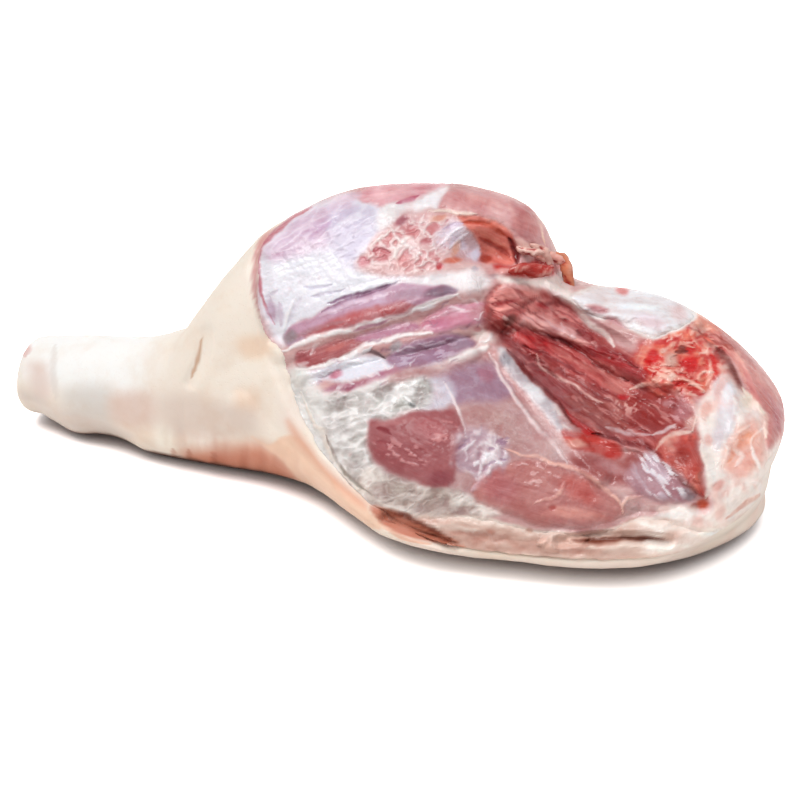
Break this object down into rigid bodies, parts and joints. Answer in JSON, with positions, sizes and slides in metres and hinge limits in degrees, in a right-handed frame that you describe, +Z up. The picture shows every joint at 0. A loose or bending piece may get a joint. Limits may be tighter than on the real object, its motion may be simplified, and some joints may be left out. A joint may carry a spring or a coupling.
{
  "type": "raw pork leg",
  "caption": "Whole raw pork leg, trotter off, lying on its skin: a tapering shank, a domed thigh and a cut face where muscles, fat and bone show.",
  "frame": {"origin": "middle of the leg's box, on the surface that the leg lies on", "axes": "+X from the cut hock to the round butt, +Y away from the cut face, +Z up"},
  "size_m": [0.576, 0.2598, 0.2058],
  "materials": {
    "meat": "moist raw meat with pale skin and fat",
    "rind": "smooth pale pork skin, satin",
    "lean": "moist lean meat under silvery membrane, glossy",
    "fat": "soft white fat, satin"
  },
  "bodies": {
    "root": {"pork_leg": "meat"}
  },
  "joints": []
}
